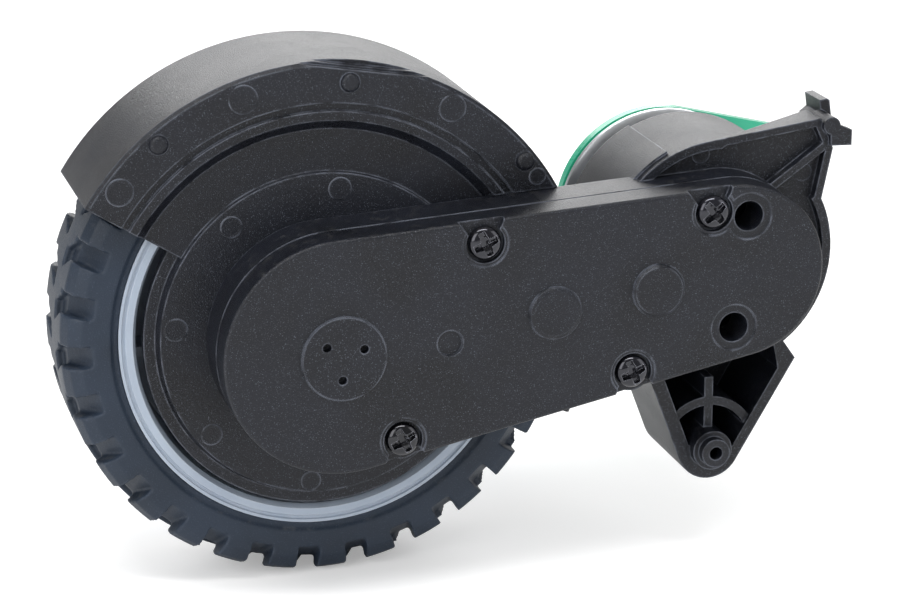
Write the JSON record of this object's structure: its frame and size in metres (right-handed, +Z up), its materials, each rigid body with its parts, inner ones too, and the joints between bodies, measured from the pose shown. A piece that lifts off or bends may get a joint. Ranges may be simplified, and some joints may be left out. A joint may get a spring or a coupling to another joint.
{
  "type": "robot vacuum wheel module",
  "caption": "Driven wheel unit: lugged tyre under an arched guard, flat gear case, geared motor with encoder board, pivot lug and spring hook.",
  "frame": {"origin": "mouth of the pivot bore, at the tip of the pivot sleeve", "axes": "+Y into the depth along the pivot bore and the wheel's axis, +X from the wheel to the motor, +Z up"},
  "size_m": [0.1142, 0.0431, 0.0744],
  "materials": {
    "black_abs": "satin",
    "rim_grey": "satin",
    "tyre_rubber": "matte",
    "black_screw": "gloss",
    "zinc_steel": "satin",
    "can_steel": "satin",
    "sintered_bronze": "matte",
    "white_acetal": "satin",
    "brass_gear": "satin",
    "ferrite": "matte",
    "lamination": "matte",
    "board_green": "gloss",
    "cap_nylon": "matte",
    "socket_white": "matte",
    "sensor_epoxy": "matte",
    "carbon": "matte"
  },
  "bodies": {
    "module": {"gear_cover": "black_abs", "gear_housing": "black_abs", "wheel_guard": "black_abs", "front_bush": "sintered_bronze", "rear_bush": "sintered_bronze", "gear_pins": "zinc_steel", "cover_screws": "black_screw", "motor_screws": "zinc_steel", "guard_screws": "black_screw", "motor_can": "can_steel", "motor_bush": "sintered_bronze", "motor_magnets": "ferrite", "motor_end_cap": "cap_nylon", "motor_brushes": "carbon", "motor_terminals": "brass_gear", "encoder_board": "board_green", "board_socket": "socket_white", "hall_sensors": "sensor_epoxy", "socket_pins": "brass_gear"},
    "wheel": {"wheel_rim": "rim_grey", "tyre": "tyre_rubber", "output_shaft": "zinc_steel", "output_gear": "white_acetal", "wheel_screw": "zinc_steel", "wheel_washer": "zinc_steel", "thrust_washer": "white_acetal"},
    "third_gear": {"gear_three": "white_acetal"},
    "second_gear": {"gear_two": "white_acetal"},
    "first_gear": {"gear_one": "white_acetal"},
    "rotor": {"motor_shaft": "zinc_steel", "armature": "lamination", "motor_pinion": "brass_gear", "encoder_magnet": "ferrite"}
  },
  "joints": [
    {"name": "wheel_spin", "type": "hinge", "parent": "module", "child": "wheel", "pos_m": [-0.05581, 0.006, 0.02075], "axis": [0, 1, 0], "continuous": true},
    {"name": "third_spin", "type": "hinge", "parent": "module", "child": "third_gear", "pos_m": [-0.04095, 0.006, 0.02278], "axis": [0, 1, 0], "continuous": true},
    {"name": "second_spin", "type": "hinge", "parent": "module", "child": "second_gear", "pos_m": [-0.02609, 0.006, 0.02481], "axis": [0, 1, 0], "continuous": true},
    {"name": "first_spin", "type": "hinge", "parent": "module", "child": "first_gear", "pos_m": [-0.01123, 0.006, 0.02683], "axis": [0, 1, 0], "continuous": true},
    {"name": "rotor_spin", "type": "hinge", "parent": "module", "child": "rotor", "pos_m": [0.00091, 0.006, 0.02848], "axis": [0, 1, 0], "continuous": true}
  ],
  "couplings": [
    {"joint": "third_spin", "follows": "wheel_spin", "ratio": -2.5714},
    {"joint": "second_spin", "follows": "wheel_spin", "ratio": 4.5714},
    {"joint": "first_spin", "follows": "wheel_spin", "ratio": -11.755},
    {"joint": "rotor_spin", "follows": "wheel_spin", "ratio": 40.609}
  ]
}
